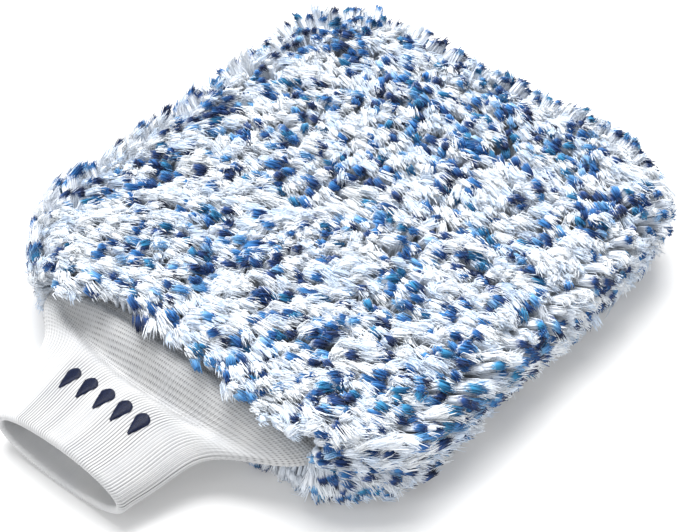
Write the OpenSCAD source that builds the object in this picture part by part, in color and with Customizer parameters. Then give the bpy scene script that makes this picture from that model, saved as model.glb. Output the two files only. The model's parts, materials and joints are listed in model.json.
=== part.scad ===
// Plush wash mitt: two deep-pile panels around a padded, lined hand pocket,
// with a folded rib-knit cuff that bends freely along its sewn edge.
// +X points to the fingertips, +Z up. The origin is on the resting plane,
// under the middle of the overall length and width.

/* [Body] */
// Length of the pile body, from the cuff end to the fingertip end
body_len = 216; // [190:1:260]
// Width of the pile body over the tips of the pile
body_w = 200; // [190:1:230]
// Height of the upper half, from the side seam to the top of the pile
top_rise = 25; // [24:0.5:28]
// Height of the lower half, from the resting plane to the side seam
bottom_rise = 23; // [22:0.5:26]
// Corner radius of the body seen from above
corner_r = 42; // [36:1:50]
// How square the edge of the body is: 2 is a round edge
edge_power = 3; // [2:0.5:5]

/* [Pile] */
// Depth of the pile on the upper panel
top_pile_depth = 16; // [14:0.5:16]
// Depth of the pile on the lower panel, pressed a little by the weight
bottom_pile_depth = 15; // [13:0.5:15]
// How far the pile reaches out past the sides and the fingertip end
side_pile_depth = 16; // [12:0.5:18]
// How far the pile reaches out over the cuff
cuff_pile_depth = 5; // [4:0.5:6]

/* [Layers] */
// Thickness of the knitted ground cloth that holds the pile
backing_t = 0.9; // [0.7:0.1:1.2]
// Thickness of the foam padding
foam_t = 2.2; // [1.5:0.1:2.4]
// Thickness of the pocket lining
liner_t = 0.7; // [0.5:0.1:0.9]
// Gap between neighbouring layers
layer_gap = 0.1; // [0.05:0.05:0.15]

/* [Cuff] */
// Length of the cuff that shows past the pile
cuff_len = 50; // [44:1:60]
// Thickness of the doubled rib knit
cuff_wall = 2.6; // [2:0.1:3]
// Width of the relaxed cuff at its mouth
mouth_w = 66; // [60:1:76]
// Height of the relaxed cuff at its mouth
mouth_h = 19; // [16:0.5:20]
// Width of the cuff where it is stretched onto the body
seam_w = 138; // [126:1:138]
// Height of the cuff where it is stretched onto the body
seam_h = 17; // [16:0.5:17]
// Height of the cuff where it sags behind the seam
waist_h = 15; // [13:0.5:17]
// Sideways drift of the relaxed mouth
cuff_skew = 9; // [0:0.5:10]
// How far the cuff folds up from rest, in degrees
fold_up = 45; // [20:5:45]
// How far the cuff droops below rest, in degrees
fold_down = 20; // [5:5:20]

/* [Embroidery] */
// Number of water drops stitched on the cuff
drop_count = 5; // [3:1:5]
// Width of one drop
drop_w = 6; // [4:0.5:7]
// Length of one drop
drop_len = 10.5; // [8:0.5:12]
// Distance between the middles of two drops
drop_pitch = 9; // [8:0.1:10]
// Height of the stitching above the knit
stitch_t = 0.7; // [0.5:0.1:1]

/* [Hidden] */

overall_len = body_len + cuff_len;
x_mouth = -overall_len / 2;
x_back = x_mouth + cuff_len;
x_tip = overall_len / 2;
z_mid = bottom_rise;
slice_t = 0.01;
edge_slices = 6;
corner_points = 8;

// The cuff turns about a line across the mitt, just inside the sewn edge.
hinge_inset = 7;
x_hinge = x_back + hinge_inset;
hinge_r = 9.2;
hinge_gap = 0.5;
cuff_run = x_hinge - x_mouth;
// Slope of the line from the hinge to the resting mouth
rest_slope = 14;
slot_half_w = seam_w / 2 + 1;

// Depth of the foam, of the lining and of the pocket below the cloth's outer face
foam_step = backing_t + layer_gap;
liner_step = foam_step + foam_t + layer_gap;
pocket_step = liner_step + liner_t;
cloth_side = side_pile_depth + layer_gap;
cloth_cuff_side = cuff_pile_depth + layer_gap;

// Sewing thread: width and height of each seam, as laid
shell_thread = [1.4, 2.6];
liner_thread = [0.8, 1.4];
cuff_thread_t = 0.8;
cuff_thread_len = 3;

pile_white = [0.93, 0.95, 0.98];
knit_white = [0.94, 0.94, 0.94];
cloth_white = [0.9, 0.91, 0.92];
foam_grey = [0.8, 0.81, 0.8];
thread_white = [0.97, 0.97, 0.97];
navy = [0.09, 0.14, 0.3];

// ---- Layers of the body ----

// Height from the side seam to the outer face of the pile
function rise(up) = up ? top_rise : bottom_rise;

// Height from the side seam to the outer face of the ground cloth
function cloth_rise(up) =
    rise(up) - (up ? top_pile_depth : bottom_pile_depth) - layer_gap;

// Rounded rectangle between x0 and x1, half_w to each side
function rounded_outline(x0, x1, half_w, r) =
    [for (corner = [0:3], i = [0:corner_points])
        let (a = 90 * corner + 90 * i / corner_points,
             cx = (corner == 0 || corner == 3) ? x1 - r : x0 + r,
             cy = corner < 2 ? half_w - r : r - half_w)
        [cx + r * cos(a), cy + r * sin(a)]];

// Half a pillow standing on the side seam's plane, with a rounded edge
module half_pillow(x0, x1, half_w, r, rise) {
    hull()
        for (i = [0:edge_slices]) {
            z = rise * pow(sin(90 * i / edge_slices), 2 / edge_power);
            inset = rise * (1 - pow(cos(90 * i / edge_slices), 2 / edge_power));
            translate([0, 0, max(0, z - slice_t)])
                linear_extrude(slice_t)
                    polygon(rounded_outline(x0 + inset, x1 - inset,
                                            half_w - inset, max(r - inset, 2)));
        }
}

// Outer envelope of a layer that lies step below the ground cloth's outer face
module layer_envelope(up, step) {
    half_pillow(x_back + cloth_cuff_side + step, x_tip - cloth_side - step,
                body_w / 2 - cloth_side - step, corner_r - side_pile_depth - step / 2,
                cloth_rise(up) - step);
}

// Puts a half pillow in place, as the upper or the lower half
module half(up) {
    translate([0, 0, z_mid])
        mirror([0, 0, up ? 0 : 1])
            children();
}

// Thin gap that keeps the two halves apart along the side seam
module seam_plane() {
    translate([-overall_len, -body_w, z_mid - layer_gap / 2])
        cube([2 * overall_len, 2 * body_w, layer_gap]);
}

// Room for the cuff's sewn end and for its whole fold
module cuff_slot() {
    r = hinge_r + hinge_gap;
    translate([x_hinge, 0, z_mid])
        hull()
            for (turn = [-rest_slope - fold_down, fold_up - rest_slope])
                rotate([90, turn, 0])
                    linear_extrude(2 * slot_half_w, center = true) {
                        circle(r, $fn = 48);
                        translate([-2 * cuff_run, -r]) square([2 * cuff_run, 2 * r]);
                    }
}

// One layer as a half shell, open towards the cuff
module layer(up, step, thickness) {
    difference() {
        half(up)
            difference() {
                layer_envelope(up, step);
                translate([0, 0, -slice_t]) layer_envelope(up, step + thickness);
            }
        seam_plane();
        cuff_slot();
    }
}

// Ring of thread on the side seam, side and cuff_side in from the pile's edge
module thread_ring(side, cuff_side, r, size) {
    half_w = body_w / 2 - side;
    translate([0, 0, z_mid - size.y / 2])
        linear_extrude(size.y)
            difference() {
                polygon(rounded_outline(x_back + cuff_side, x_tip - side, half_w, r));
                polygon(rounded_outline(x_back + cuff_side + size.x, x_tip - side - size.x,
                                        half_w - size.x, r - size.x));
            }
}

// The shell's side seam, grown by clearance on every side
module shell_seam_ring(clearance) {
    side = side_pile_depth - shell_thread.x - clearance;
    thread_ring(side, side - side_pile_depth + cuff_pile_depth, corner_r - side,
                shell_thread + [2, 2] * clearance);
}

// The pile of one panel, around the ground cloth
module pile(up) {
    difference() {
        half(up)
            difference() {
                half_pillow(x_back, x_tip, body_w / 2, corner_r, rise(up));
                translate([0, 0, -slice_t])
                    half_pillow(x_back + cuff_pile_depth, x_tip - side_pile_depth,
                                body_w / 2 - side_pile_depth,
                                corner_r - side_pile_depth, cloth_rise(up) + layer_gap);
            }
        seam_plane();
        cuff_slot();
        shell_seam_ring(layer_gap);
    }
}

module top_pile() {
    color(pile_white) pile(true);
}

module bottom_pile() {
    color(pile_white) pile(false);
}

module top_backing() {
    color(cloth_white) layer(true, 0, backing_t);
}

module bottom_backing() {
    color(cloth_white) layer(false, 0, backing_t);
}

module top_foam() {
    color(foam_grey) layer(true, foam_step, foam_t);
}

module bottom_foam() {
    color(foam_grey) layer(false, foam_step, foam_t);
}

module top_liner() {
    color(cloth_white) layer(true, liner_step, liner_t);
}

module bottom_liner() {
    color(cloth_white) layer(false, liner_step, liner_t);
}

// ---- Seams ----

module shell_seam() {
    color(thread_white)
        difference() {
            shell_seam_ring(0);
            cuff_slot();
        }
}

// The lining's seam lies inside the pocket, along its edge.
module liner_seam() {
    inside = pocket_step + layer_gap;
    color(thread_white)
        difference() {
            thread_ring(cloth_side + inside, cloth_cuff_side + inside,
                        corner_r - side_pile_depth - inside / 2, liner_thread);
            cuff_slot();
        }
}

// Overlock stitching that joins the pocket's mouth to the cuff, turned inside
module cuff_seam() {
    top = cloth_rise(true) - pocket_step - 2 * layer_gap;
    bottom = cloth_rise(false) - pocket_step - 2 * layer_gap;
    half_h = (top + bottom) / 2;
    half_w = slot_half_w - 2;
    color(thread_white)
        translate([x_hinge + hinge_r + 2 * hinge_gap, 0, z_mid + (top - bottom) / 2])
            rotate([90, 0, 90])
                linear_extrude(cuff_thread_len)
                    difference() {
                        polygon(rounded_outline(-half_w, half_w, half_h, half_h));
                        polygon(rounded_outline(cuff_thread_t - half_w, half_w - cuff_thread_t,
                                                half_h - cuff_thread_t, half_h - cuff_thread_t));
                    }
}

// ---- Cuff ----

// s is the distance from the hinge line towards the mouth.
cuff_rings = 15;
cuff_points = 44;
cuff_power = 2.3;
slow_taper = (seam_w - mouth_w) / 3;
gather_at = 14;
gather_len = 4;
waist_at = 24;
floor_gap = 0.3;
mouth_drop = z_mid - mouth_h / 2 - floor_gap;

function clamp01(t) = min(1, max(0, t));
function ease(t) = let (u = clamp01(t)) u * u * (3 - 2 * u);
function mix(a, b, t) = a + (b - a) * t;

function gather(s) = 1 / (1 + exp((s - gather_at) / gather_len));

function cuff_width(s) =
    mouth_w + slow_taper * (1 - pow(clamp01(s / cuff_run), 1.5))
    + (seam_w - mouth_w - slow_taper) * gather(s) / gather(0);

function cuff_height(s) =
    s < waist_at ? mix(seam_h, waist_h, ease(s / waist_at))
                 : mix(waist_h, mouth_h, ease((s - waist_at) / (cuff_run - waist_at)));

function cuff_z(s) =
    let (t = clamp01(s / cuff_run)) z_mid - mouth_drop * (t + ease(t)) / 2;

function cuff_y(s) = cuff_skew * ease(2 * s / cuff_run);

function curve(c) = sign(c) * pow(abs(c), 2 / cuff_power);

// The sewn end is round about the hinge line, so that it turns in its slot.
function cuff_x(s, z) =
    s > 0 ? x_hinge - s : x_hinge + sqrt(max(0, pow(hinge_r, 2) - pow(z - z_mid, 2)));

function cuff_ring(s, wall) =
    [for (i = [0:cuff_points - 1])
        let (a = 360 * i / cuff_points,
             y = cuff_y(s) + (cuff_width(s) / 2 - wall) * curve(cos(a)),
             z = cuff_z(s) + (cuff_height(s) / 2 - wall) * curve(sin(a)))
        [cuff_x(s, z), y, z]];

// Height of the cuff's upper face at distance s and sideways place y
function cuff_top(s, y) =
    let (u = clamp01(abs(y - cuff_y(s)) / (cuff_width(s) / 2)))
    cuff_z(s) + cuff_height(s) / 2 * pow(1 - pow(u, cuff_power), 1 / cuff_power);

// Faces between ring a and ring b, each a list of consecutive points
function band(a, b, n) =
    [for (i = [0:n - 1], half = [0, 1])
        let (j = (i + 1) % n)
        half == 0 ? [a + i, a + j, b + j] : [a + i, b + j, b + i]];

module rib_cuff() {
    rings = [for (k = [0:cuff_rings]) cuff_ring(cuff_run * k / cuff_rings, 0),
             for (k = [cuff_rings:-1:0]) cuff_ring(cuff_run * k / cuff_rings, cuff_wall)];
    count = len(rings);
    points = [for (ring = rings) each ring];
    faces = [for (k = [0:count - 1])
                each band(k * cuff_points, ((k + 1) % count) * cuff_points, cuff_points)];
    color(knit_white) polyhedron(points, faces, convexity = 6);
}

// ---- Embroidery ----

mark_at = 29;
mark_clearance = 0.25;
drop_tip_r = 0.5;

module drop_outline() {
    hull() {
        translate([drop_len / 2 - drop_w / 2, 0]) circle(d = drop_w, $fn = 28);
        translate([drop_tip_r - drop_len / 2, 0]) circle(drop_tip_r, $fn = 16);
    }
}

module embroidered_mark() {
    dx = drop_len / 2;
    dy = drop_w / 2;
    color(navy)
        for (i = [0:drop_count - 1]) {
            y = cuff_y(mark_at) + drop_pitch * (i - (drop_count - 1) / 2);
            rise_x = (cuff_top(mark_at - dx, y) - cuff_top(mark_at + dx, y)) / (2 * dx);
            rise_y = (cuff_top(mark_at, y + dy) - cuff_top(mark_at, y - dy)) / (2 * dy);
            translate([x_hinge - mark_at, y, cuff_top(mark_at, y) + mark_clearance])
                rotate([atan(rise_y), -atan(rise_x), 0])
                    linear_extrude(stitch_t)
                        drop_outline();
        }
}

top_pile();
bottom_pile();
top_backing();
bottom_backing();
top_foam();
bottom_foam();
top_liner();
bottom_liner();
shell_seam();
liner_seam();
cuff_seam();
rib_cuff();
embroidered_mark();
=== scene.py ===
"""Looks of the plush wash mitt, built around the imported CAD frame. Lengths are in metres."""

import json
import math

import bmesh
import bpy
import numpy as np
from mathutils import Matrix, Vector, kdtree


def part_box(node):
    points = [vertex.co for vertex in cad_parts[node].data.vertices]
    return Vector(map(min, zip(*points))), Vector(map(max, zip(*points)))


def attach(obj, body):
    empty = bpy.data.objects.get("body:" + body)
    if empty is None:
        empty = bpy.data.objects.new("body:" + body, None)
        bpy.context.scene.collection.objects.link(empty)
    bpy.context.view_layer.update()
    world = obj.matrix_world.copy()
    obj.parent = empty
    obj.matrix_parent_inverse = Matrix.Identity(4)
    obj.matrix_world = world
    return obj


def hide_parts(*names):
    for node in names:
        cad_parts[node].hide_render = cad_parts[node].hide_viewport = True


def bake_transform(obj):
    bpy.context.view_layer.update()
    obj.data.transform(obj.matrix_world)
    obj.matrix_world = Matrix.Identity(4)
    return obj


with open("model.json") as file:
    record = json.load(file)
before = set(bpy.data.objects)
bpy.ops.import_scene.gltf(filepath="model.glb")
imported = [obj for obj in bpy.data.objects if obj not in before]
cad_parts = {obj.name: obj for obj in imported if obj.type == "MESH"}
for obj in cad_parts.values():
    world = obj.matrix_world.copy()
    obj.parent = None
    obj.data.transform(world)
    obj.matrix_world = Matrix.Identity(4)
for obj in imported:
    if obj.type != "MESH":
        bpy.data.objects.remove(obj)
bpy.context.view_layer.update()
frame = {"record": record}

MM = 0.001
SEED = 7

# ---- Places and sizes that come from the frame ----

HINGE = next(j for j in frame["record"]["behaviour"]["joints"] if j["name"] == "cuff_bend")["pos_m"]
X_HINGE, _, Z_MID = HINGE
X_BACK = X_HINGE - 7 * MM
X_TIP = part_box("top_pile")[1][0]
HALF_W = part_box("top_pile")[1][1]
TOP_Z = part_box("top_pile")[1][2]
BOTTOM_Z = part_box("bottom_pile")[0][2]
X_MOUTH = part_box("rib_cuff")[0][0]
CUFF_RUN = X_HINGE - X_MOUTH

# ---- Shape of the body, as the CAD has it ----

CORNER_R = 42 * MM
EDGE_POWER = 3
SIDE_DEPTH = 16 * MM
CUFF_DEPTH = 5 * MM
SLOT_HALF_W = 70 * MM
SLOT_R = 9.7 * MM
LAYER_GAP = 0.1 * MM
BACKING_T = 0.9 * MM
FOAM_T = 2.2 * MM
LINER_T = 0.7 * MM


# ---- Small mesh helpers ----

def new_object(name, data):
    """Links a mesh, a camera or a light to the scene as a new object."""
    obj = bpy.data.objects.new(name, data)
    bpy.context.collection.objects.link(obj)
    return obj


def mesh_object(name, points, loops, sides, uv, material):
    """Smooth object from numpy arrays. loops lists all faces' corners, sides how many each has.

    uv has one row for each point, or one for each corner, or is None.
    """
    mesh = bpy.data.meshes.new(name)
    mesh.vertices.add(len(points))
    mesh.vertices.foreach_set("co", np.asarray(points, np.float32).ravel())
    mesh.loops.add(len(loops))
    mesh.loops.foreach_set("vertex_index", np.asarray(loops, np.int32))
    mesh.polygons.add(len(sides))
    starts = np.concatenate([[0], np.cumsum(sides)[:-1]])
    mesh.polygons.foreach_set("loop_start", starts.astype(np.int32))
    mesh.polygons.foreach_set("use_smooth", np.full(len(sides), True))
    if uv is not None:
        layer = mesh.uv_layers.new(name="OFBake")
        by_corner = uv if len(uv) == len(loops) else uv[loops]
        layer.data.foreach_set("uv", by_corner.astype(np.float32).ravel())
    mesh.update(calc_edges=True)
    mesh.materials.append(material)
    return new_object(name, mesh)


def grid_faces(rows, columns, close_rows=False):
    """Quads of a grid of rows x columns points, closed round each row, as an array of corners."""
    i = np.arange(rows if close_rows else rows - 1)[:, None]
    j = np.arange(columns)[None, :]
    i2, j2 = (i + 1) % rows, (j + 1) % columns
    quads = np.stack([i * columns + j, i * columns + j2, i2 * columns + j2, i2 * columns + j], -1)
    return quads.reshape(-1, 4)


def quad_object(name, points, quads, material, uv=None):
    """Object whose faces all have four corners."""
    return mesh_object(name, points, quads.ravel(), np.full(len(quads), 4), uv, material)


def unit(v):
    """Vectors scaled to length 1."""
    return v / np.maximum(np.linalg.norm(v, axis=-1, keepdims=True), 1e-12)


def ease(t):
    """Smooth step from 0 to 1."""
    t = np.clip(t, 0, 1)
    return t * t * (3 - 2 * t)


def bell(x, middle, width):
    """Smooth bump of height 1 about middle."""
    return np.exp(-((x - middle) / width) ** 2)


TUBE_SIDE_HINT = [0.13, 0.21, 0.97]


def tube(path, radius, sides, closed=False):
    """Points and quads of a round tube along path."""
    path = np.asarray(path, float)
    after = np.roll(path, -1, 0) if closed else np.vstack([path[1:], path[-1:]])
    before = np.roll(path, 1, 0) if closed else np.vstack([path[:1], path[:-1]])
    along = unit(after - before)
    side = unit(np.cross(along, TUBE_SIDE_HINT))
    up = np.cross(side, along)
    turn = 2 * math.pi * np.arange(sides) / sides
    ring = side[:, None] * np.cos(turn)[None, :, None] + up[:, None] * np.sin(turn)[None, :, None]
    points = path[:, None] + ring * radius
    quads = grid_faces(len(path), sides, close_rows=closed)
    return points.reshape(-1, 3), quads


def join_parts(parts):
    """Joins (points, quads) pairs into one pair."""
    points, quads, count = [], [], 0
    for p, q in parts:
        points.append(p)
        quads.append(q + count)
        count += len(p)
    return np.concatenate(points), np.concatenate(quads)


# ---- Node materials ----

SHEEN_ROUGHNESS = 0.5
CLOTH_SPECULAR = 0.25


def new_material(name, roughness, sheen=0.0):
    """A Principled material; returns it with its node tree and shader."""
    material = bpy.data.materials.new(name)
    material.use_nodes = True
    shader = material.node_tree.nodes["Principled BSDF"]
    shader.inputs["Roughness"].default_value = roughness
    shader.inputs["Sheen Weight"].default_value = sheen
    shader.inputs["Sheen Roughness"].default_value = SHEEN_ROUGHNESS
    shader.inputs["Specular IOR Level"].default_value = CLOTH_SPECULAR
    return material, material.node_tree, shader


def node(tree, kind, **settings):
    """New node of the given kind, with its settings."""
    made = tree.nodes.new(kind)
    for key, value in settings.items():
        setattr(made, key, value)
    return made


def uv_parts(tree):
    """Separated u and v of the piece's UV map."""
    uv = node(tree, "ShaderNodeUVMap", uv_map="OFBake")
    parts = node(tree, "ShaderNodeSeparateXYZ")
    tree.links.new(uv.outputs["UV"], parts.inputs[0])
    return parts.outputs["X"], parts.outputs["Y"]


def ramp(tree, value, stops, interpolation="LINEAR"):
    """Colour ramp over value. stops are (position, (r, g, b))."""
    made = node(tree, "ShaderNodeValToRGB")
    made.color_ramp.interpolation = interpolation
    elements = made.color_ramp.elements
    while len(elements) < len(stops):
        elements.new(0.5)
    for element, (position, colour) in zip(elements, stops):
        element.position = position
        element.color = (*colour, 1)
    tree.links.new(value, made.inputs["Fac"])
    return made.outputs["Color"]


def math_node(tree, operation, a, b=None, c=None):
    """Result of a maths node on sockets or numbers."""
    made = node(tree, "ShaderNodeMath", operation=operation)
    for socket, value in zip(made.inputs, (a, b, c)):
        if value is None:
            continue
        if isinstance(value, (int, float)):
            socket.default_value = value
        else:
            tree.links.new(value, socket)
    return made.outputs[0]


def cosine_size(tree, value):
    """Size of the cosine of a value, without its sign."""
    return math_node(tree, "ABSOLUTE", math_node(tree, "COSINE", value))


def mix_colour(tree, factor, a, b, blend="MIX"):
    """Colour between a and b. Each of the three is a socket, a number or a colour."""
    made = node(tree, "ShaderNodeMix", data_type="RGBA", blend_type=blend)
    for socket, value in zip((made.inputs[0], made.inputs[6], made.inputs[7]), (factor, a, b)):
        if isinstance(value, tuple):
            socket.default_value = (*value, 1)
        elif isinstance(value, (int, float)):
            socket.default_value = value
        else:
            tree.links.new(value, socket)
    return made.outputs[2]


def add_bump(tree, shader, height, strength, distance):
    """Bump on the shader's normal."""
    bump = node(tree, "ShaderNodeBump")
    bump.inputs["Strength"].default_value = strength
    bump.inputs["Distance"].default_value = distance
    tree.links.new(height, bump.inputs["Height"])
    tree.links.new(bump.outputs["Normal"], shader.inputs["Normal"])


def noise(tree, scale, detail=3.0):
    """Noise in the object's own coordinates."""
    coords = node(tree, "ShaderNodeTexCoord")
    made = node(tree, "ShaderNodeTexNoise")
    made.inputs["Scale"].default_value = scale
    made.inputs["Detail"].default_value = detail
    tree.links.new(coords.outputs["Object"], made.inputs["Vector"])
    return made.outputs["Fac"]


# Colours of tuft tips. A blue is (deep, at the very end; light, where the dye runs out).
WHITE_TIPS = [(0.82, 0.88, 0.96), (0.90, 0.93, 0.96), (0.72, 0.82, 0.95), (0.88, 0.92, 0.97)]
BLUE_TIPS = [
    ((0.004, 0.014, 0.060), (0.020, 0.075, 0.26)),
    ((0.005, 0.035, 0.155), (0.030, 0.16, 0.43)),
    ((0.008, 0.085, 0.300), (0.065, 0.27, 0.60)),
    ((0.005, 0.095, 0.240), (0.040, 0.28, 0.52)),
    ((0.045, 0.205, 0.490), (0.190, 0.44, 0.72)),
    ((0.135, 0.340, 0.620), (0.390, 0.57, 0.79)),
]
TIP_COUNT = len(WHITE_TIPS) + len(BLUE_TIPS)
BLACK, WHITE = (0, 0, 0), (1, 1, 1)
DYE_STARTS, DYE_SURE, DYE_DEEP = 0.58, 0.72, 0.92


def pile_material():
    """Fibres near white, with painted shade: darker and bluer towards the root, where the tufts shade
    each other. u picks the tip's colour and v runs from root to tip.
    """
    material, tree, shader = new_material("pile_fibre", roughness=0.7, sheen=0.12)
    u, v = uv_parts(tree)
    places = [k / TIP_COUNT for k in range(TIP_COUNT)]
    deep = [*WHITE_TIPS, *(pair[0] for pair in BLUE_TIPS)]
    light = [*WHITE_TIPS, *(pair[1] for pair in BLUE_TIPS)]
    deep_colour = ramp(tree, u, list(zip(places, deep)), "CONSTANT")
    light_colour = ramp(tree, u, list(zip(places, light)), "CONSTANT")
    depth = ramp(tree, v, [(DYE_SURE, BLACK), (DYE_DEEP, WHITE)])
    dyed = ramp(tree, v, [(DYE_STARTS, BLACK), (DYE_SURE, WHITE)], "EASE")
    tip = mix_colour(tree, depth, light_colour, deep_colour)
    # Painted shade: the fibres turn darker and bluer towards the root, between the tufts.
    root_with_painted_shade = ramp(tree, v, [(0.0, (0.80, 0.87, 0.96)), (0.6, (0.87, 0.91, 0.97))])
    tree.links.new(mix_colour(tree, dyed, root_with_painted_shade, tip), shader.inputs["Base Color"])
    return material


def cloth_material(name, colour, shade, pitch, roughness=0.8):
    """Plain fine knit: rows of small stitches as bump, with a slight mottle."""
    material, tree, shader = new_material(name, roughness, sheen=0.2)
    mottle = noise(tree, 60)
    tree.links.new(ramp(tree, mottle, [(0.35, shade), (0.65, colour)]), shader.inputs["Base Color"])
    coords = node(tree, "ShaderNodeTexCoord")
    parts = node(tree, "ShaderNodeSeparateXYZ")
    tree.links.new(coords.outputs["Object"], parts.inputs[0])
    turn = 2 * math.pi / pitch
    wales = math_node(tree, "SINE", math_node(tree, "MULTIPLY", parts.outputs["Y"], turn))
    rows = math_node(tree, "SINE", math_node(tree, "MULTIPLY", parts.outputs["X"], turn))
    add_bump(tree, shader, math_node(tree, "MULTIPLY", wales, rows), 0.5, 0.15 * pitch)
    return material


def foam_material():
    """Open-cell foam: small pits as bump, with painted shade that darkens each pit, in warm grey."""
    material, tree, shader = new_material("foam", roughness=0.95)
    coords = node(tree, "ShaderNodeTexCoord")
    cells = node(tree, "ShaderNodeTexVoronoi")
    cells.inputs["Scale"].default_value = 900
    tree.links.new(coords.outputs["Object"], cells.inputs["Vector"])
    # Painted shade: the colour is darkest where the bump is lowest, in the pits.
    painted_pit_shade = ramp(tree, cells.outputs["Distance"], [(0.1, (0.42, 0.42, 0.40)), (0.5, (0.72, 0.72, 0.69))])
    tree.links.new(painted_pit_shade, shader.inputs["Base Color"])
    add_bump(tree, shader, cells.outputs["Distance"], 0.6, 0.4 * MM)
    return material


def thread_material(name, colour, shade, shine=0.45):
    """Twisted thread with a fine lustre, and painted shade: its darker tone lies in the hollows of its
    fine bump.
    """
    material, tree, shader = new_material(name, roughness=shine)
    fine = noise(tree, 1400, detail=2)
    # Painted shade: the same noise sets the bump, so the darker tone falls in its hollows.
    tree.links.new(ramp(tree, fine, [(0.35, shade), (0.65, colour)]), shader.inputs["Base Color"])
    add_bump(tree, shader, fine, 0.4, 0.1 * MM)
    return material


# ---- Camera, light and floor ----

VIEW_AZIMUTH = -49.65
VIEW_ELEVATION = 43.0
VIEW_DISTANCE = 0.792
VIEW_TARGET = (9.1 * MM, -6.4 * MM, 20 * MM)
LENS_MM = 104.5
SENSOR_MM = 36

KEY_PLACE, KEY_SIZE, KEY_POWER = (0.80, 0.85, 4.05), 2.8, 290
FILL_PLACE, FILL_SIZE, FILL_POWER = (-1.0, 0.1, 0.9), 0.6, 1.6
PALE_SKY = (0.98, 0.99, 1.0)
SURROUND = 0.6
BACKDROP = 1.1
FLOOR_HALF = 1.6
FLOOR_GREY = (0.64, 0.64, 0.64, 1)
FLOOR_GLOW = 0.22
FLOOR_GAP = 0.1 * MM


def make_camera():
    """Camera with a long lens, aimed at the middle of the mitt."""
    a, e = math.radians(VIEW_AZIMUTH), math.radians(VIEW_ELEVATION)
    back = Vector((math.sin(a) * math.cos(e), -math.cos(a) * math.cos(e), math.sin(e)))
    data = bpy.data.cameras.new("camera")
    data.lens = LENS_MM
    data.sensor_width = SENSOR_MM
    camera = new_object("camera", data)
    camera.location = Vector(VIEW_TARGET) + VIEW_DISTANCE * back
    camera.rotation_euler = back.to_track_quat("Z", "Y").to_euler()
    bpy.context.scene.camera = camera


def area_light(name, place, size, power, colour):
    """Square light at place, turned to the origin."""
    data = bpy.data.lights.new(name, "AREA")
    data.size = size
    data.energy = power
    data.color = colour
    light = new_object(name, data)
    light.location = place
    light.rotation_euler = Vector(place).to_track_quat("Z", "Y").to_euler()


def make_floor():
    """Pale floor that glows a little, so that it stays white round the mitt's shadow."""
    material, _, shader = new_material("floor", roughness=0.9)
    shader.inputs["Base Color"].default_value = FLOOR_GREY
    shader.inputs["Emission Color"].default_value = (*WHITE, 1)
    shader.inputs["Emission Strength"].default_value = FLOOR_GLOW
    signs = np.array([(-1, -1, 0), (1, -1, 0), (1, 1, 0), (-1, 1, 0)])
    corners = signs * FLOOR_HALF + np.array([0, 0, BOTTOM_Z - FLOOR_GAP])
    floor = quad_object("floor", corners, np.array([[0, 1, 2, 3]]), material)


def make_light():
    """White surround, a soft overhead key from the far side and a weak fill."""
    world = bpy.data.worlds.new("surround")
    world.use_nodes = True
    tree = world.node_tree
    background = tree.nodes["Background"]
    background.inputs["Color"].default_value = (*PALE_SKY, 1)
    seen = node(tree, "ShaderNodeLightPath").outputs["Is Camera Ray"]
    strength = math_node(tree, "MULTIPLY_ADD", seen, BACKDROP - SURROUND, SURROUND)
    tree.links.new(strength, background.inputs["Strength"])
    bpy.context.scene.world = world
    area_light("key", KEY_PLACE, KEY_SIZE, KEY_POWER, WHITE)
    area_light("fill", FILL_PLACE, FILL_SIZE, FILL_POWER, PALE_SKY)
    bpy.context.scene.view_settings.view_transform = "Standard"


# ---- The pillow that every layer of the body follows ----

CORNER_STEPS = 12
SIDE_STEPS = 26
EDGE_LEVELS = 12
FLAT_LEVELS = 14


def outline(x0, x1, half_w, r):
    """Rounded rectangle as points and outward directions, with its straight sides divided."""
    points, outward = [], []
    centres = [(x1 - r, half_w - r), (x0 + r, half_w - r), (x0 + r, r - half_w), (x1 - r, r - half_w)]
    for k, centre in enumerate(centres):
        turn = np.radians(90 * k + 90 * np.arange(CORNER_STEPS + 1) / CORNER_STEPS)
        direction = np.stack([np.cos(turn), np.sin(turn)], 1)
        arc = np.array(centre) + r * direction
        following = np.array(centres[(k + 1) % 4]) + r * direction[-1]
        t = (np.arange(1, SIDE_STEPS) / SIDE_STEPS)[:, None]
        points += [arc, arc[-1] * (1 - t) + following * t]
        outward += [direction, np.repeat(direction[-1:], SIDE_STEPS - 1, 0)]
    return np.concatenate(points), np.concatenate(outward)


def half_pillow(x0, x1, half_w, r, rise):
    """Rings of points and normals from the side seam up to the middle of the flat top."""
    rings, normals = [], []
    turn = np.pi / 2 * np.arange(EDGE_LEVELS + 1) / EDGE_LEVELS
    power = 2 / EDGE_POWER
    heights = rise * np.sin(turn) ** power
    insets = rise * (1 - np.cos(turn) ** power)
    slopes = np.gradient(heights), np.gradient(insets)
    flat = np.linspace(0, 1, FLAT_LEVELS + 1)[1:]
    levels = [(i, h, dh, di) for i, h, dh, di in zip(insets, heights, *slopes)]
    levels += [(rise + (half_w - rise) * t, rise, 0.0, 1.0) for t in flat]
    for inset, height, d_height, d_inset in levels:
        ring, outward = outline(x0 + inset, x1 - inset, half_w - inset, max(r - inset, 0))
        rings.append(np.column_stack([ring, np.full(len(ring), height)]))
        normals.append(unit(np.column_stack([outward * d_height, np.full(len(ring), d_inset)])))
    return np.array(rings), np.array(normals)


def placed(rings, up):
    """Moves a half pillow onto the side seam's plane, upper or lower."""
    out = rings.copy()
    out[..., 2] = Z_MID + (1 if up else -1) * rings[..., 2]
    return out


def cloth_rise(up):
    """Height from the side seam to the ground cloth's outer face."""
    name = "top_backing" if up else "bottom_backing"
    low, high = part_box(name)
    return high[2] - Z_MID if up else Z_MID - low[2]


def pile_surface(up):
    """Points and normals of the pile's outer face."""
    rise = TOP_Z - Z_MID if up else Z_MID - BOTTOM_Z
    rings, normals = half_pillow(X_BACK, X_TIP, HALF_W, CORNER_R, rise)
    return placed(rings, up), normals * np.array([1, 1, 1 if up else -1])


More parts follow.
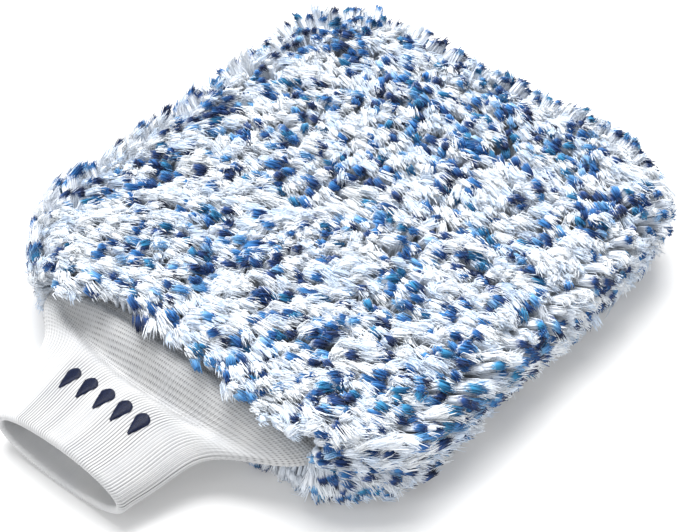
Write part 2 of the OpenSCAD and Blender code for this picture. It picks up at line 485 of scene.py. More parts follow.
def layer_surface(up, step):
    """Outer face of the layer that lies step below the ground cloth's outer face."""
    side = SIDE_DEPTH + LAYER_GAP + step
    rings, _ = half_pillow(X_BACK + CUFF_DEPTH + LAYER_GAP + step, X_TIP - side,
                           HALF_W - side, CORNER_R - SIDE_DEPTH - step / 2, cloth_rise(up) - step)
    return placed(rings, up)


def in_slot(points, margin=0.0):
    """Whether points are in the room kept for the cuff's sewn end."""
    x, y, z = points[..., 0], points[..., 1], points[..., 2]
    near = (x < X_HINGE) | (np.hypot(x - X_HINGE, z - Z_MID) < SLOT_R + margin)
    return near & (np.abs(y) < SLOT_HALF_W + margin) & (np.abs(z - Z_MID) < SLOT_R + margin)


# ---- Pile ----

TUFT_SPACING = 2.75 * MM
CANDIDATES = 80000
SLOT_OVERHANG = 1.0 * MM
SLOT_ROOT_OVERHANG = 3.0 * MM
FIBRES = 34
FIBRE_SIDES = 3
CORE_SIDES = 5
FIBRE_TIMES = np.array([0.25, 0.66, 0.93])
FIBRE_RADII = np.array([0.18, 0.24, 0.15]) * MM
CORE_TIMES = np.array([0.0, 0.40, 0.72, 0.92])
CORE_RADII = np.array([0.7, 1.35, 1.25, 0.70]) * MM
CORE_END = 0.96
BLUE_SHARE = 0.38
BLUE_SHADES = [0.24, 0.22, 0.20, 0.15, 0.12, 0.07]
PATCHES = 0.6
PATCH_LENGTHS = (16 * MM, 50 * MM)
PAIR_SHARE = 0.3
TUFTS_PER_PIECE = 355


ARC_DEPTH, ARC_HALF_W = 9.5 * MM, 62 * MM
DIP_DEPTH, DIP_AT, DIP_WIDTH = 6.5 * MM, 28 * MM, 24 * MM


def edge_arc(y):
    """How far the upper panel's edge over the cuff curves in towards the fingertips."""
    deeper = DIP_DEPTH * bell(y, DIP_AT, DIP_WIDTH)
    return ARC_DEPTH * np.clip(1 - (y / ARC_HALF_W) ** 2, 0, 1) + deeper


def scatter(rng):
    """Evenly scattered tufts: tip place, root place, normal and half, for both panels."""
    tips, roots, normals, upper = [], [], [], []
    for up in (True, False):
        outer, normal = pile_surface(up)
        inner = layer_surface(up, 0)
        columns = outer.shape[1]
        quads = grid_faces(outer.shape[0], columns)
        a, b, c, d = (outer.reshape(-1, 3)[quads[:, k]] for k in range(4))
        area = (np.linalg.norm(np.cross(b - a, c - a), axis=1)
                + np.linalg.norm(np.cross(c - a, d - a), axis=1)) / 2
        pick = rng.choice(len(quads), CANDIDATES // 2, p=area / area.sum())
        s, t = rng.random((2, len(pick), 1))
        weights = ((1 - s) * (1 - t), s * (1 - t), s * t, (1 - s) * t)
        for source, out in ((outer, tips), (inner, roots), (normal, normals)):
            flat = source.reshape(-1, 3)
            out.append(sum(w * flat[quads[pick, k]] for k, w in enumerate(weights)))
        upper.append(np.full(len(pick), up))
    tips, roots, normals, upper = (np.concatenate(x) for x in (tips, roots, normals, upper))
    order = rng.permutation(len(tips))
    tips, roots, normals, upper = tips[order], roots[order], unit(normals[order]), upper[order]
    free = ~in_slot(tips, -SLOT_OVERHANG) & ~in_slot(roots, -SLOT_ROOT_OVERHANG)
    free &= ~upper | (tips[:, 0] > X_BACK + edge_arc(tips[:, 1]))
    keep = thinned(tips, free, TUFT_SPACING)
    return tips[keep], roots[keep], normals[keep], upper[keep]


def search_tree(points):
    """Tree that finds the points near a place."""
    tree = kdtree.KDTree(len(points))
    for i, p in enumerate(points):
        tree.insert(p, i)
    tree.balance()
    return tree


def thinned(points, allowed, spacing):
    """Indices of points that are allowed and at least spacing apart."""
    tree = search_tree(points)
    allowed = allowed.copy()
    keep = []
    for i, p in enumerate(points):
        if allowed[i]:
            keep.append(i)
            for _, j, _ in tree.find_range(p, spacing):
                allowed[j] = False
    return np.array(keep)


WAVE_COUNT = 9
WAVE_PEAK = 1.6


def waves(points, rng, lengths):
    """Smooth field over the mitt, about -1 to 1, made of waves between the two given lengths."""
    total = np.zeros(len(points))
    for _ in range(WAVE_COUNT):
        direction = unit(rng.normal(size=3))
        length = rng.uniform(*lengths)
        total += np.sin(points @ direction * 2 * math.pi / length + rng.uniform(0, 2 * math.pi))
    return total / math.sqrt(WAVE_COUNT / 2) / WAVE_PEAK


# How tips move from where they were scattered. The top is brushed towards LEAN_TO, the sides hang,
# the edge over the cuff leans out, the far side stands up, and the lower edge draws in.
LEAN = 9.5 * MM
LEAN_TO = np.array([-0.42, -0.95, 0.0])
UNDER_LEAN = 5 * MM
HANG = 5 * MM
CUFF_LEAN = 6 * MM
CUFF_REACH = 10 * MM
FAR_SIDE = np.array([0.68, 0.70, 0.22])
FAR_EDGE = 0.4
FAR_CALM = 0.7
STAND_OUT = 4.5 * MM
TUCK = 9 * MM
TUCK_POWER = 1.2
DROOP = 0.28
SINK = 0.2 * MM

# Chance in where a tip goes: shared by neighbours (clump), its own (stray), and in its length.
# FLATTEN takes most of it out of the height. On faces flatter than STEEP, tips start over their roots.
CLUMP = 2.4 * MM
CLUMP_LENGTHS = (12 * MM, 60 * MM)
STRAY = 2.3 * MM
FLATTEN = 0.75
UNEVEN = 1.3 * MM
UNEVEN_LENGTHS = (8 * MM, 30 * MM)
RAGGED = 0.7 * MM
STEEP = 0.7
OVER_ROOT = 0.45
FLOOR_CLEAR = 0.8 * MM


def brushed(tips, normals, far):
    """Lean of each tuft before chance has its part. far is 1 where a tuft faces the far side."""
    top = np.clip(normals[:, 2:], 0, 1)
    side = 1 - np.abs(normals[:, 2:])
    under = np.clip(-normals[:, 2:], 0, 1)
    lean = top * LEAN * LEAN_TO + side * np.array([0, 0, -HANG]) + under * UNDER_LEAN * LEAN_TO
    lean *= 1 - FAR_CALM * far[:, None]
    by_cuff = np.exp((X_BACK + edge_arc(tips[:, 1:2]) - tips[:, :1]) / CUFF_REACH)
    facing_up = np.clip(normals[:, 2:] + 0.3, 0, 1)
    return lean + by_cuff * np.array([-CUFF_LEAN, 0, 0]) * facing_up


def tucked(places):
    """Places below the side seam drawn in towards the middle of the mitt."""
    tuck = TUCK * np.clip((Z_MID - places[:, 2]) / (Z_MID - BOTTOM_Z), 0, 1) ** TUCK_POWER
    drawn = places.copy()
    drawn[:, 0] -= tuck * np.clip(places[:, 0] / X_TIP, 0, 1)
    drawn[:, 1] -= tuck * places[:, 1] / HALF_W
    return drawn


def combed(tips, roots, normals, rng):
    """Tip places after the pile is brushed over, hangs at the sides and clumps a little."""
    clumps = np.stack([waves(tips, rng, CLUMP_LENGTHS) for _ in range(3)], 1)
    chance = clumps * CLUMP + rng.normal(scale=STRAY, size=tips.shape)
    far = np.clip((1 + FAR_EDGE) * normals @ FAR_SIDE - FAR_EDGE, 0, 1)
    lean = brushed(tips, normals, far)
    lean += chance - FLATTEN * (chance * normals).sum(1, keepdims=True) * normals
    lean -= np.minimum(0, (lean * normals).sum(1, keepdims=True)) * normals
    longer = UNEVEN * waves(tips, rng, UNEVEN_LENGTHS) + rng.normal(scale=RAGGED, size=len(tips))
    longer += STAND_OUT * far * rng.uniform(0.2, 1.0, len(tips))
    top = np.clip(normals[:, 2], 0, 1)
    droop = DROOP * np.linalg.norm(lean[:, :2], axis=1) * top + SINK
    straight = np.where(np.abs(normals[:, 2:]) > STEEP, OVER_ROOT, 1.0)
    base = tips - (1 - straight) * ((tips - roots) * [1, 1, 0])
    out = base + lean + normals * (longer - droop)[:, None]
    out[:, 2] = np.maximum(out[:, 2], BOTTOM_Z + FLOOR_CLEAR)
    return tucked(out)


def tip_colours(tips, rng):
    """Index into the tip colours for each tuft: mostly white, some blue, often in pairs."""
    colours = rng.integers(0, len(WHITE_TIPS), len(tips))
    shades = rng.choice(len(BLUE_TIPS), len(tips), p=BLUE_SHADES)
    patches = 1 + PATCHES * waves(tips, rng, PATCH_LENGTHS)
    blue = rng.random(len(tips)) < BLUE_SHARE * patches
    tree = search_tree(tips)
    for i in np.flatnonzero(blue):
        if rng.random() < PAIR_SHARE:
            blue[tree.find_n(tips[i], 2)[1][1]] = True
    return np.where(blue, len(WHITE_TIPS) + shades, colours)


def on_curve(starts, middles, ends, t):
    """Place at t on a quadratic curve."""
    return (1 - t) ** 2 * starts + 2 * t * (1 - t) * middles + t * t * ends


def strand_points(curve, times, radii, end_time, sides, side, up):
    """Tapered strands on curves of (starts, middles, ends): rings at times, then a pointed tip."""
    path = on_curve(*(places[:, None] for places in curve), times[None, :, None])
    turn = 2 * math.pi * np.arange(sides) / sides
    ring = side[:, None] * np.cos(turn)[None, :, None] + up[:, None] * np.sin(turn)[None, :, None]
    rings = path[:, :, None] + ring[:, None] * radii[:, :, None, None]
    tip = on_curve(*curve, end_time)
    return np.concatenate([rings.reshape(len(tip), -1, 3), tip[:, None]], 1)


def strand_faces(levels, sides):
    """Corners and face sizes of one strand: quads between rings, then triangles to the tip."""
    quads = grid_faces(levels, sides)
    last = (levels - 1) * sides
    j = np.arange(sides)
    tips = np.stack([last + j, last + (j + 1) % sides, np.full(sides, levels * sides)], 1)
    return np.concatenate([quads.ravel(), tips.ravel()]), np.array([4] * len(quads) + [3] * sides)


STRAND_CLEAR = 0.1 * MM


def strands(name, groups, material):
    """One mesh from groups of equal strands, each (points, u, v at each time, sides)."""
    all_points, all_loops, all_sides, all_uv, count = [], [], [], [], 0
    for points, u, v, sides in groups:
        each = points.shape[1]
        levels = (each - 1) // sides
        loops, face_sides = strand_faces(levels, sides)
        offsets = count + each * np.arange(len(points))
        all_loops.append((loops[None] + offsets[:, None]).ravel())
        all_sides.append(np.tile(face_sides, len(points)))
        all_points.append(points.reshape(-1, 3))
        uv = np.stack(np.broadcast_arrays(u[:, None], v[None]), -1)
        all_uv.append(uv.reshape(-1, 2))
        count += points.shape[0] * each
    points = np.concatenate(all_points)
    points[:, 2] = np.maximum(points[:, 2], BOTTOM_Z + STRAND_CLEAR)
    return mesh_object(name, points, np.concatenate(all_loops), np.concatenate(all_sides),
                       np.concatenate(all_uv), material)


# A tuft's curve rises from its root along the normal before it leans over.
CURVE_RISE = 1.10
CURVE_LEAN = 0.06
CURVE_CHANCE = 0.5 * MM

# Fibres stand round the core: how far off they start, bulge and end, and how they vary.
ROOT_SPREAD = 0.8 * MM
BELLY_SPREAD = 2.0 * MM
BELLY_CHANCE = 0.3 * MM
BLUE_SPLAY = 1.25 * MM
WHITE_SPLAY = 2.6 * MM
BLUE_REACH = (0.9, 1.04)
WHITE_REACH = (0.76, 1.10)
END_CHANCE = 0.55 * MM
BLUE_CORE = 0.88
BLUE_FIBRE = 1.15


def tuft_curves(tips, roots, normals, rng):
    """Two directions across each tuft, and the middle point of its curve."""
    way = tips - roots
    along = unit(way)
    side = unit(np.cross(along, unit(rng.normal(size=tips.shape))))
    up = np.cross(along, side)
    length = np.linalg.norm(way, axis=1, keepdims=True)
    rise = (way * normals).sum(1, keepdims=True)
    middles = roots + normals * np.clip(rise, 0.5 * length, None) * CURVE_RISE + way * CURVE_LEAN
    middles += rng.normal(scale=CURVE_CHANCE, size=tips.shape)
    return side, up, middles


def make_cores(curve, side, up, blue, rng):
    """Points of one soft core for each tuft."""
    size = rng.uniform(0.8, 1.2, (len(blue), 1)) * np.where(blue, BLUE_CORE, 1.0)[:, None]
    return strand_points(curve, CORE_TIMES, CORE_RADII * size, CORE_END, CORE_SIDES, side, up)


def make_fibres(curve, side, up, blue, rng):
    """Points of the ragged fibres round the cores. All arrays have a row for each fibre."""
    roots, middles, tips = curve
    count = len(blue)
    angle = rng.uniform(0, 2 * math.pi, count)
    out = side * np.cos(angle)[:, None] + up * np.sin(angle)[:, None]
    spread = np.sqrt(rng.uniform(0.05, 1, (count, 1)))
    belly = out * spread * BELLY_SPREAD + rng.normal(scale=BELLY_CHANCE, size=(count, 3))
    white_reach = rng.uniform(*WHITE_REACH, count)
    reach = np.where(blue, rng.uniform(*BLUE_REACH, count), white_reach)
    splay = np.where(blue, BLUE_SPLAY, WHITE_SPLAY)[:, None] * spread
    ends = roots + (tips - roots) * reach[:, None] + out * splay
    ends += rng.normal(scale=END_CHANCE, size=ends.shape)
    size = rng.uniform(0.75, 1.3, (count, 1)) * np.where(blue, BLUE_FIBRE, 1.0)[:, None]
    fibre = (roots + out * spread * ROOT_SPREAD, middles + belly, ends)
    return strand_points(fibre, FIBRE_TIMES, FIBRE_RADII * size, 1.0, FIBRE_SIDES, side, up)


def make_tufts(name, tips, roots, normals, colours, rng, material):
    """Tufts as a soft core with ragged fibres round it."""
    blue = colours >= len(WHITE_TIPS)
    u = (colours + 0.5) / TIP_COUNT
    side, up, middles = tuft_curves(tips, roots, normals, rng)
    core = make_cores((roots, middles, tips), side, up, blue, rng)
    core_v = np.append(np.repeat(CORE_TIMES, CORE_SIDES), CORE_END)
    many = np.repeat(np.arange(len(tips)), FIBRES)
    curve = (roots[many], middles[many], tips[many])
    fibre = make_fibres(curve, side[many], up[many], blue[many], rng)
    fibre_v = np.append(np.repeat(FIBRE_TIMES, FIBRE_SIDES), 1.0)
    groups = [(core, u, core_v, CORE_SIDES), (fibre, u[many], fibre_v, FIBRE_SIDES)]
    return strands(name, groups, material)


def make_pile():
    """All tufts of both panels, in pieces along the mitt."""
    rng = np.random.default_rng(SEED)
    tips, roots, normals, upper = scatter(rng)
    colours = tip_colours(tips, rng)
    tips = combed(tips, roots, normals, rng)
    material = pile_material()
    pieces = {}
    for panel, chosen in (("top", upper), ("bottom", ~upper)):
        own = np.flatnonzero(chosen)
        own = own[np.argsort(roots[own, 0])]
        parts = np.array_split(own, math.ceil(len(own) / TUFTS_PER_PIECE))
        pieces[panel] = []
        for k, part in enumerate(parts):
            piece = make_tufts(f"{panel}_pile_tufts_{k + 1:02d}", tips[part], roots[part],
                               normals[part], colours[part], rng, material)
            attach(piece, "mitt")
            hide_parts(f"{panel}_pile")
            pieces[panel].append(piece)
    print("tufts", len(tips), {panel: len(found) for panel, found in pieces.items()})
    return pieces


# ---- Cuff ----

CUFF_WALL = 2.6 * MM
MOUTH_W = 66 * MM
MOUTH_H = 24 * MM
SEAM_W = 138 * MM
SEAM_H = 17 * MM
WAIST_H = 15 * MM
WAIST_AT = 24 * MM
GATHER_AT = 14 * MM
GATHER_LEN = 4 * MM
CUFF_SKEW = 9 * MM
CUFF_POWER = 2.05
SLOW_TAPER = (SEAM_W - MOUTH_W) / 3
MOUTH_DROP = Z_MID - MOUTH_H / 2 - 0.3 * MM
SEWN_END = -9 * MM
OUTLINE_STEPS = 1440

CREASE_AT, CREASE_DEPTH, CREASE_WIDTH = 14.6 * MM, 9 * MM, 4.4 * MM
CREASE_CURVE = 2.5
SHOULDER_H, SHOULDER_BACK, SHOULDER_WIDTH = 3 * MM, 10 * MM, 5 * MM
SHOULDER_FROM = -2 * MM
SWELL_AT, SWELL_H, SWELL_WIDTH = 32 * MM, 1.6 * MM, 9 * MM

RIBS = 132
COLUMNS = 5 * RIBS
COURSE = 1.2 * MM
RIB_DEPTH = 0.50 * MM
WALE_DEPTH = 0.40 * MM
UNEVEN_RIBS = ((5, 0.0016), (13, 0.0010))
RELAXED_TO, STRETCHED_BY = 1.15, 0.55


def cuff_width(s):
    """Width of the cuff at s from the hinge line: it gathers in fast, then tapers to the mouth."""
    gather = (1 + math.exp(-GATHER_AT / GATHER_LEN)) / (1 + np.exp((s - GATHER_AT) / GATHER_LEN))
    gather = np.where(s > 0, gather, 1)
    taper = 1 - np.clip(s / CUFF_RUN, 0, 1) ** 1.5
    return MOUTH_W + SLOW_TAPER * taper + (SEAM_W - MOUTH_W - SLOW_TAPER) * gather


def cuff_height(s):
    """Height of the cuff at s: lowest at the waist, highest at the mouth."""
    to_waist = SEAM_H + (WAIST_H - SEAM_H) * ease(s / WAIST_AT)
    to_mouth = WAIST_H + (MOUTH_H - WAIST_H) * ease((s - WAIST_AT) / (CUFF_RUN - WAIST_AT))
    return np.where(s < WAIST_AT, to_waist, to_mouth)


def cuff_z(s):
    """Height of the cuff's middle, which comes down to the floor at the mouth."""
    t = np.clip(s / CUFF_RUN, 0, 1)
    return Z_MID - MOUTH_DROP * (t + ease(t)) / 2


def cuff_y(s):
    """Sideways place of the cuff's middle, which lies a little askew."""
    return CUFF_SKEW * ease(2 * s / CUFF_RUN)


def fold_drop(s, y):
    """How far the upper wall sags in the arc-shaped crease where the cuff gathers in."""
    across = (y - cuff_y(s)) / (cuff_width(s) / 2)
    crease = CREASE_AT - CREASE_CURVE * np.maximum(y, 0) ** 2
    inner = np.clip(1 - across ** 2, 0, 1)
    shoulder = SHOULDER_H * bell(s, crease - SHOULDER_BACK, SHOULDER_WIDTH)
    shoulder *= ease((s - SHOULDER_FROM) / SHOULDER_WIDTH)
    swell = SWELL_H * bell(s, SWELL_AT, SWELL_WIDTH)
    return inner * (CREASE_DEPTH * bell(s, crease, CREASE_WIDTH) - shoulder - swell)


def cuff_points(s, around, inset):
    """Places on the cuff's wall: s from the hinge line, around from 0 to 1, inset into the wall."""
    turn = 2 * np.pi * np.linspace(0, 1, OUTLINE_STEPS + 1)
    c, d = (np.sign(f(turn)) * np.abs(f(turn)) ** (2 / CUFF_POWER) for f in (np.cos, np.sin))
    rows = []
    for row_s, row_inset in zip(s, inset):
        y = cuff_y(row_s) + (cuff_width(row_s) / 2 - row_inset) * c
        z = cuff_z(row_s) + (cuff_height(row_s) / 2 - row_inset) * d
        z = z - fold_drop(row_s, y) * np.clip(3 * d, 0, 1)
        length = np.concatenate([[0], np.cumsum(np.hypot(np.diff(y), np.diff(z)))])
        place = around * length[-1]
        rows.append(np.column_stack([np.full(len(around), X_HINGE - row_s),
                                     np.interp(place, length, y), np.interp(place, length, z)]))
    return np.array(rows)


def rib_relief(s, around):
    """Height of the knit over the wall: deep ribs where relaxed, a grid of loops where stretched."""
    stretch = ease((cuff_width(s) / MOUTH_W - RELAXED_TO) / STRETCHED_BY)[:, None]
    drift = sum(size * np.sin(2 * np.pi * turns * around) for turns, size in UNEVEN_RIBS)
    k = RIBS * (around + drift)[None, :]
    ribs = RIB_DEPTH * (np.abs(np.cos(np.pi * k)) ** 0.7 - 0.7)
    wales = 0.5 + 0.5 * np.cos(4 * np.pi * k) + 0.25 * np.cos(2 * np.pi * k)
    loops = 0.55 + 0.45 * np.cos(2 * np.pi * s / COURSE)[:, None]
    return ribs * (1 - 0.8 * stretch) + WALE_DEPTH * stretch * (wales * loops - 0.4)


# The texture's v runs from the sewn end to the mouth, and from there on along the inside.
OUTER_V = 0.7
RELAXED_V = (0.24, 0.36)
INSIDE_V = (0.70, 0.74)
KNIT_SHADES = [(0.0, (0.20, 0.202, 0.21)), (0.35, (0.40, 0.40, 0.402)), (0.8, (0.61, 0.61, 0.61))]
KNIT_INSIDE = (0.68, 0.68, 0.68)
KNIT_MOTTLE = [(0.3, (0.90, 0.91, 0.93)), (0.7, WHITE)]


def knit_material():
    """White rib knit: shade in the grooves and between stretched loops, fine yarn bump."""
    material, tree, shader = new_material("rib_knit", roughness=0.75, sheen=0.2)
    u, v = uv_parts(tree)
    turn = math_node(tree, "MULTIPLY", u, math.pi * RIBS)
    groove = cosine_size(tree, turn)
    wale = cosine_size(tree, math_node(tree, "MULTIPLY", turn, 2))
    rows = (CUFF_RUN - SEWN_END) / OUTER_V / COURSE * math.pi
    course = cosine_size(tree, math_node(tree, "MULTIPLY", v, rows))
    gap = math_node(tree, "MULTIPLY", math_node(tree, "SUBTRACT", 1, wale),
                    math_node(tree, "SUBTRACT", 1.1, course))
    loops = math_node(tree, "SUBTRACT", 0.85, gap)
    relaxed = ramp(tree, v, list(zip(RELAXED_V, (BLACK, WHITE))))
    inside = ramp(tree, v, list(zip(INSIDE_V, (BLACK, WHITE))))
    knit = mix_colour(tree, relaxed, loops, groove)
    shaded = mix_colour(tree, inside, ramp(tree, knit, KNIT_SHADES), KNIT_INSIDE)
    mottle = ramp(tree, noise(tree, 90), KNIT_MOTTLE)
    mottled = mix_colour(tree, 1, shaded, mottle, "MULTIPLY")
    tree.links.new(mottled, shader.inputs["Base Color"])
    add_bump(tree, shader, noise(tree, 2200, detail=2), 0.35, 0.12 * MM)
    return material


# Rows of the cuff's mesh: close together along the crease, wider apart towards the mouth.
CLOSE_FROM, CLOSE_TO, CLOSE_STEP = -2.1 * MM, 23 * MM, 0.3 * MM
SEWN_ROWS, FAR_ROWS, INNER_ROWS = 4, 15, 22
ROLL_STEP = 22.5
RIM_SWELL, RIM_WIDTH = 0.6 * MM, 3 * MM


def cuff_rows():
    """Place, inset and texture v of each row: sewn end, outside, rolled mouth, inside.

    v has one value more, for the row that closes the wall at the sewn end.
    """
    r = CUFF_WALL / 2
    sewn = np.linspace(SEWN_END, CLOSE_FROM - CLOSE_STEP, SEWN_ROWS)
    close = np.arange(CLOSE_FROM, CLOSE_TO, CLOSE_STEP)
    far = np.linspace(CLOSE_TO, CUFF_RUN - r, FAR_ROWS)
    outer = np.concatenate([sewn, close, far])
    roll = np.radians(np.arange(90, -91, -ROLL_STEP))[1:-1]
    inner = np.linspace(CUFF_RUN - r, SEWN_END, INNER_ROWS)
    s = np.concatenate([outer, CUFF_RUN - r + r * np.cos(roll), inner])
    inset = np.concatenate([np.zeros(len(outer)), r - r * np.sin(roll), np.full(INNER_ROWS, CUFF_WALL)])
    outer_v = OUTER_V * (outer - SEWN_END) / (CUFF_RUN - SEWN_END)
    v = np.concatenate([outer_v, np.linspace(OUTER_V, 1, len(s) - len(outer) + 1)])
    return s, inset, v


def cuff_uv(row_v):
    """Texture places of every face's corners, with u running once round each row."""
    rows = len(row_v) - 1
    column = np.tile(np.arange(COLUMNS), rows)
    row = np.repeat(np.arange(rows), COLUMNS)
    u = np.stack([column, column + 1, column + 1, column], 1) / COLUMNS
    v = row_v[np.stack([row, row, row + 1, row + 1], 1)]
    return np.stack([u, v], -1).reshape(-1, 2)


def make_cuff():
    """The doubled tube of rib knit, rolled over at the mouth, from its sewn end to its rim."""
    s, inset, row_v = cuff_rows()
    around = np.arange(COLUMNS) / COLUMNS
    points = cuff_points(s, around, inset)
    along, across = np.gradient(points, axis=0), np.roll(points, -1, 1) - np.roll(points, 1, 1)
    normals = unit(np.cross(along, across))
    strength = np.interp(inset, [0, 0.5 * CUFF_WALL, CUFF_WALL], [1.0, 0.6, 0.15])[:, None]
    roll_over = RIM_SWELL * bell(s, CUFF_RUN, RIM_WIDTH)[:, None]
    points = points + normals * (rib_relief(s, around) * strength + roll_over)[..., None]
    quads = grid_faces(len(s), COLUMNS, close_rows=True)
    cuff = quad_object("rib_knit_cuff", points.reshape(-1, 3), quads, knit_material(), cuff_uv(row_v))
    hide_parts("rib_cuff")
    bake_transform(cuff)
    return cuff


# ---- Embroidery ----

MARK_AT = 32 * MM
DROP_COUNT = 5
DROP_PITCH = 9 * MM
DROP_LEN = 10.5 * MM
DROP_W = 6 * MM
DROP_TIP_R = 0.5 * MM
STITCH_PITCH = 0.30 * MM
STITCH_R = 0.24 * MM
STITCH_SLANT = 0.12 * MM
STITCH_CHANCE = 0.06 * MM
STITCH_POINTS = 9
ARCH = 0.50 * MM
ARCH_HALF_W = 1.2 * MM
SUNK = 0.05 * MM
MARK_COLOUR, MARK_SHADE = (0.004, 0.010, 0.040), (0.002, 0.004, 0.018)


def cuff_top(s, y):
    """Height of the knit's upper face."""
    u = np.clip(np.abs(y - cuff_y(s)) / (cuff_width(s) / 2), 0, 1)
    arch = cuff_height(s) / 2 * (1 - u ** CUFF_POWER) ** (1 / CUFF_POWER)
    return cuff_z(s) + arch - fold_drop(s, y) + 0.25 * RIB_DEPTH


def drop_half_width(x):
    """Half the drop's width at x, from its middle towards its round end."""
    centre = (DROP_LEN - DROP_W) / 2
    tip = DROP_TIP_R - DROP_LEN / 2
    if x > centre:
        return math.sqrt(max(0, (DROP_W / 2) ** 2 - (x - centre) ** 2))
    t = (x - tip) / (centre - tip)
    return max(0.12 * MM, DROP_TIP_R + (DROP_W / 2 - DROP_TIP_R) * max(0, t) ** 0.85)


def make_mark():
    """Five water drops in satin stitch: threads side by side across each drop."""
    rng = np.random.default_rng(SEED + 1)
    threads = []
    across = np.linspace(-1, 1, STITCH_POINTS)
    for i in range(DROP_COUNT):
        y0 = cuff_y(MARK_AT) + DROP_PITCH * (i - (DROP_COUNT - 1) / 2)
        for x in np.arange(STITCH_PITCH / 2 - DROP_LEN / 2, DROP_LEN / 2 - SUNK, STITCH_PITCH):
            half = drop_half_width(x) + rng.uniform(-STITCH_CHANCE, STITCH_CHANCE)
            s = MARK_AT - x - STITCH_SLANT * across
            y = y0 + half * across
            arch = ARCH * np.clip(1 - across ** 4, 0, 1) * min(1, half / ARCH_HALF_W) - SUNK
            z = cuff_top(s, y) + arch + rng.uniform(0, STITCH_CHANCE)
            threads.append(tube(np.column_stack([X_HINGE - s, y, z]), STITCH_R, 6))
    points, quads = join_parts(threads)
    thread = thread_material("embroidery_thread", MARK_COLOUR, MARK_SHADE, shine=0.38)
    mark = quad_object("water_drop_stitches", points, quads, thread)
    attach(mark, "cuff")
    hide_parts("embroidered_mark")


# ---- Cloth layers inside ----

MERGE_DIST = 0.02 * MM


def make_layer(name, up, step, thickness, material):
    """One thin layer under the pile, open towards the cuff, with its outer face step further in."""
    rings = layer_surface(up, step + thickness / 2)
    quads = grid_faces(rings.shape[0], rings.shape[1])
    points = rings.reshape(-1, 3)
    quads = quads[~in_slot(points[quads].mean(1))]
    if up:
        quads = quads[:, ::-1]
    layer = quad_object(name, points, quads, material)
    mesh = bmesh.new()
    mesh.from_mesh(layer.data)
    bmesh.ops.remove_doubles(mesh, verts=mesh.verts, dist=MERGE_DIST)
    bmesh.ops.dissolve_degenerate(mesh, edges=mesh.edges, dist=MERGE_DIST / 2)
    loose = [v for v in mesh.verts if not v.link_faces]
    bmesh.ops.delete(mesh, geom=loose, context="VERTS")
    bmesh.ops.recalc_face_normals(mesh, faces=mesh.faces)
    mesh.to_mesh(layer.data)
    mesh.free()
    solid = layer.modifiers.new("thickness", "SOLIDIFY")
    solid.thickness = thickness
    solid.offset = 0
    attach(layer, "mitt")
    return layer


def make_layers():
    """Ground cloth, foam and lining of both panels, from the outside in."""
    ground = cloth_material("ground_cloth", (0.86, 0.88, 0.92), (0.78, 0.81, 0.86), 1.4 * MM)
    lining = cloth_material("lining", (0.84, 0.85, 0.86), (0.76, 0.77, 0.79), 0.9 * MM)
    foam = foam_material()
    foam_step = BACKING_T + LAYER_GAP
    liner_step = foam_step + FOAM_T + LAYER_GAP
    for up, side in ((True, "top"), (False, "bottom")):
        cloth = make_layer(f"{side}_ground_cloth", up, 0, BACKING_T, ground)
        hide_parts(f"{side}_backing")
        pad = make_layer(f"{side}_foam_pad", up, foam_step, FOAM_T, foam)
        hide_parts(f"{side}_foam")
        liner = make_layer(f"{side}_lining", up, liner_step, LINER_T, lining)
        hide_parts(f"{side}_liner")


# ---- Seams ----

def even_ring(points, step):
    """Points about step apart along a closed path."""
    closed = np.vstack([points, points[:1]])
    length = np.concatenate([[0], np.cumsum(np.linalg.norm(np.diff(closed, axis=0), axis=1))])
    place = np.linspace(0, length[-1], round(length[-1] / step), endpoint=False)
    return np.column_stack([np.interp(place, length, closed[:, k]) for k in range(closed.shape[1])])


SEAM_CORNER_R = CORNER_R - 15 * MM
SEAM_CLEAR = 1.0 * MM
THREAD_SIDES = 5
OVERLOCK_INSET, OVERLOCK_HALF_W = 0.4 * MM, 1.1 * MM
OVERLOCK_STEP, OVERLOCK_R = 0.55 * MM, 0.28 * MM
OVERLOCK_FLAT = 0.1 * MM


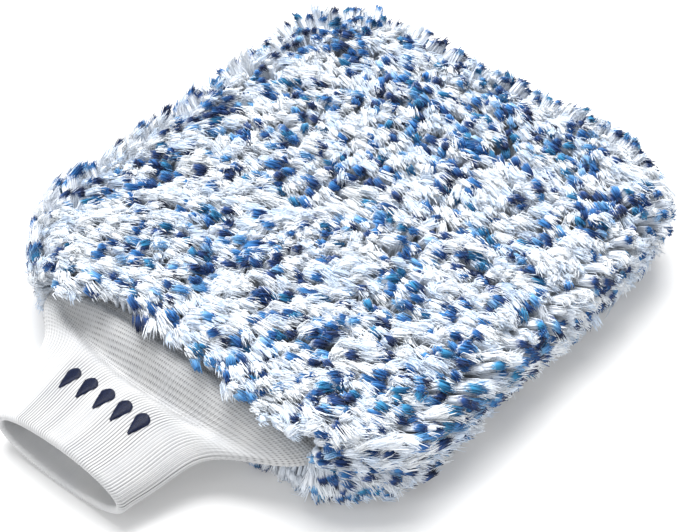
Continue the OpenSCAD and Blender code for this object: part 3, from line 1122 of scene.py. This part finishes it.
def make_side_seam(name, thread_node, inset, height, radius, stitch, material):
    """Zigzag stitches round the body's side seam, inside the CAD thread's own box."""
    low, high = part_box(thread_node)
    half_w = high[1] - inset
    ring, _ = outline(low[0] + inset, high[0] - inset, half_w, SEAM_CORNER_R)
    path = even_ring(ring, stitch / 4)
    zigzag = height * np.sin(np.pi / 2 * np.arange(len(path)))
    path = np.column_stack([path, Z_MID + zigzag])
    behind_cuff = np.argmin(np.hypot(path[:, 0] - low[0], path[:, 1]))
    path = np.roll(path, -behind_cuff, 0)
    path = path[~in_slot(path, SEAM_CLEAR)]
    points, quads = tube(path, radius, THREAD_SIDES)
    seam = quad_object(name, points, quads, material)
    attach(seam, "mitt")
    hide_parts(thread_node)


def make_cuff_seam(material):
    """Overlock stitches that join the pocket's mouth to the cuff."""
    low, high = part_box("cuff_seam")
    half_w = high[1] - OVERLOCK_INSET
    half_h = (high[2] - low[2]) / 2 - OVERLOCK_INSET
    ring, _ = outline(-half_w, half_w, half_h, half_h - OVERLOCK_FLAT)
    ring = even_ring(ring, OVERLOCK_STEP)
    phase = np.pi / 2 * np.arange(len(ring))
    x = (low[0] + high[0]) / 2 + OVERLOCK_HALF_W * np.sin(phase)
    path = np.column_stack([x, ring[:, 0], (low[2] + high[2]) / 2 + ring[:, 1]])
    points, quads = tube(path, OVERLOCK_R, THREAD_SIDES, closed=True)
    seam = quad_object("overlock_stitches", points, quads, material)
    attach(seam, "mitt")
    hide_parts("cuff_seam")


def make_seams():
    """The three rows of stitching."""
    thread = thread_material("sewing_thread", (0.92, 0.92, 0.92), (0.80, 0.81, 0.83))
    make_side_seam("shell_stitches", "shell_seam", 0.7 * MM, 0.95 * MM, 0.30 * MM, 2.6 * MM, thread)
    make_side_seam("lining_stitches", "liner_seam", 0.4 * MM, 0.35 * MM, 0.25 * MM, 2.2 * MM, thread)
    make_cuff_seam(thread)


# ---- Everything ----


make_camera()
make_floor()
make_light()
make_pile()
make_cuff()
make_mark()
make_layers()
make_seams()
